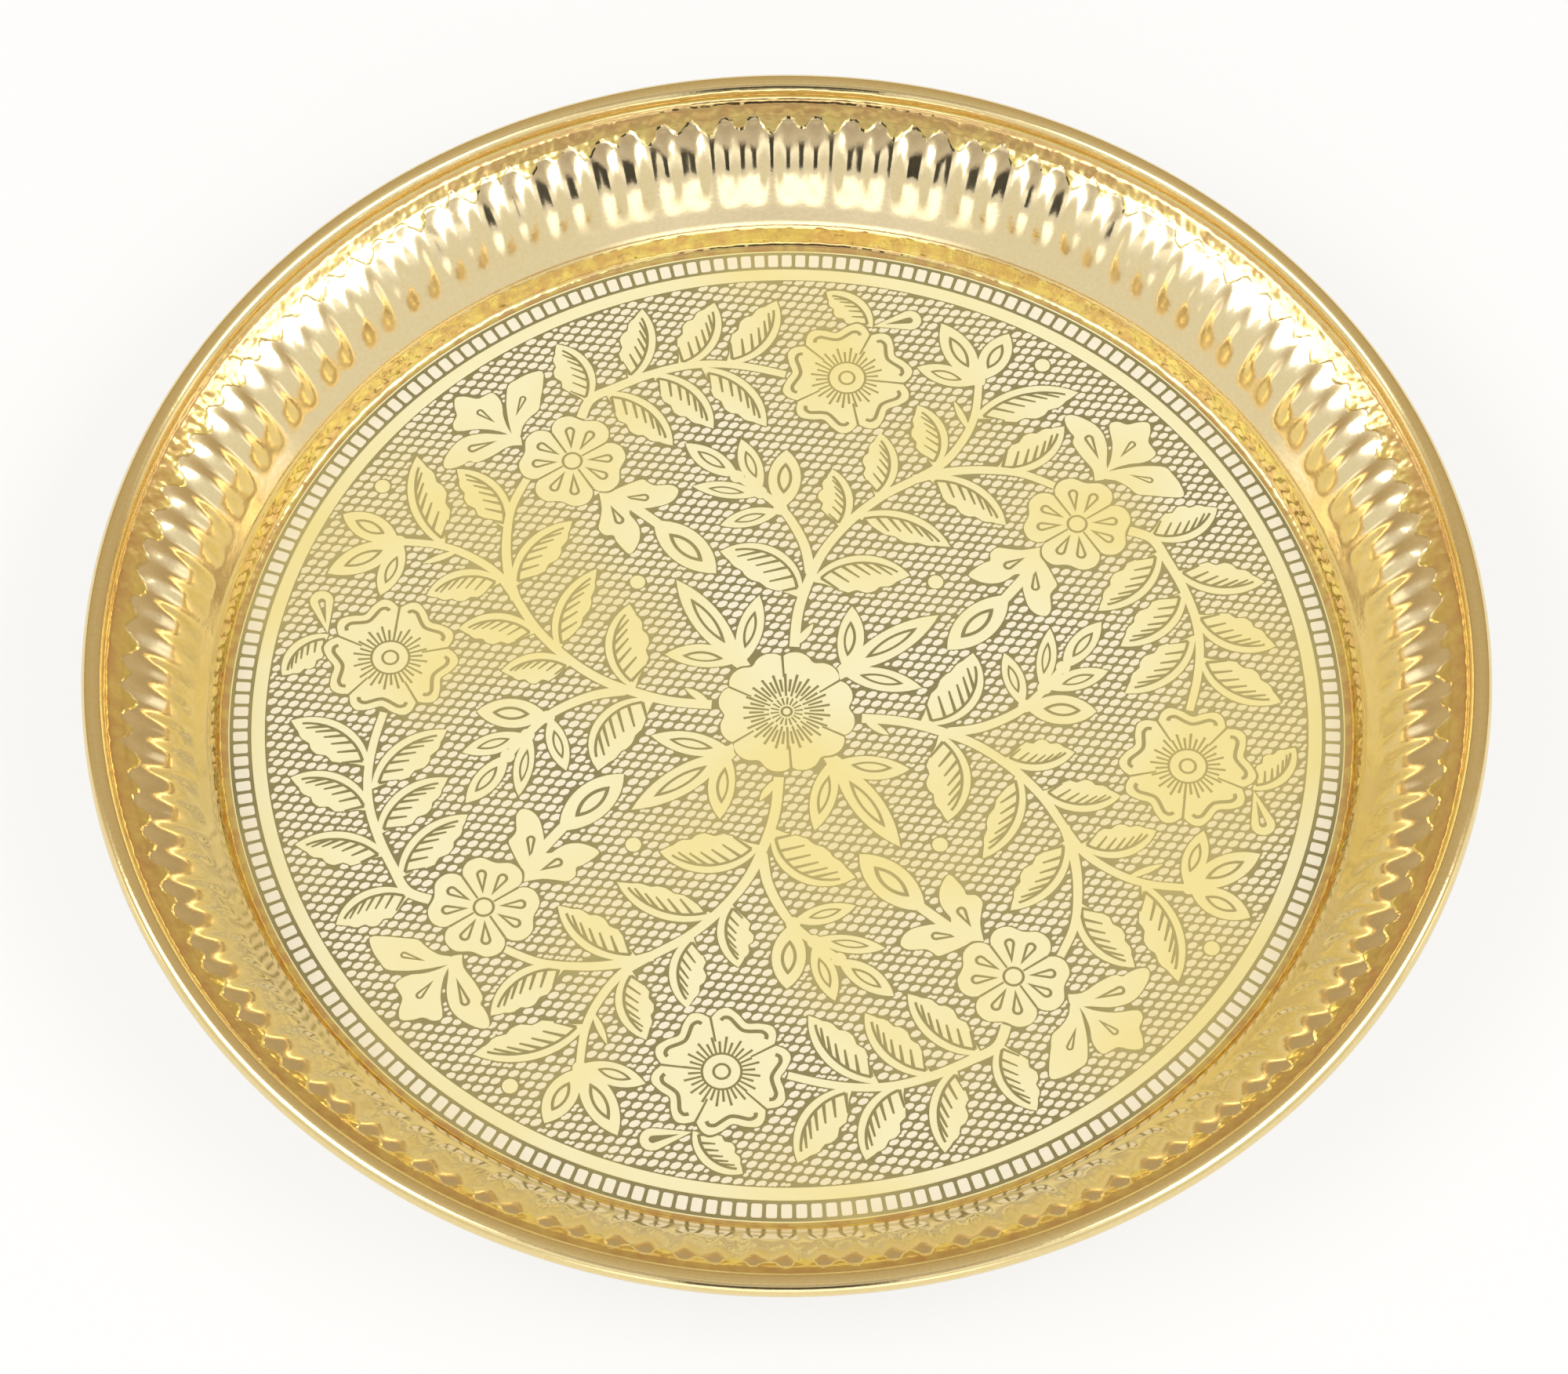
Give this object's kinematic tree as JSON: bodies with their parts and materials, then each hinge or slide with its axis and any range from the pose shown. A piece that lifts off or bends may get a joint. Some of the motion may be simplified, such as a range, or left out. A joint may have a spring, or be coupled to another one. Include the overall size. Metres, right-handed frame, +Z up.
{
  "type": "thali plate",
  "caption": "Round shallow plate pressed from brass sheet, with an etched flower and vine floor, a border of small squares, a flaring fluted wall and a rolled, wired rim.",
  "frame": {"origin": "middle of the flat underside, which is also the middle of the bounding box's bottom", "axes": "+Z up along the plate's axis; -Y towards the viewer of the picture; +X to the viewer's right"},
  "size_m": [0.254, 0.254, 0.0266],
  "materials": {
    "brass_sheet": "polished and lacquered, floor etched and darkened",
    "bright_land": "bright, unetched face of the sheet",
    "rim_wire": "plain drawn wire"
  },
  "bodies": {
    "root": {"pressed_plate": "brass_sheet", "rim_wire": "rim_wire", "border_ring": "bright_land", "border_squares": "bright_land", "border_edge": "bright_land", "centre_flower": "bright_land", "centre_sprigs": "bright_land", "vines": "bright_land", "flower_sprays": "bright_land", "outer_flowers": "bright_land", "inner_flowers": "bright_land", "dots": "bright_land"}
  },
  "joints": []
}
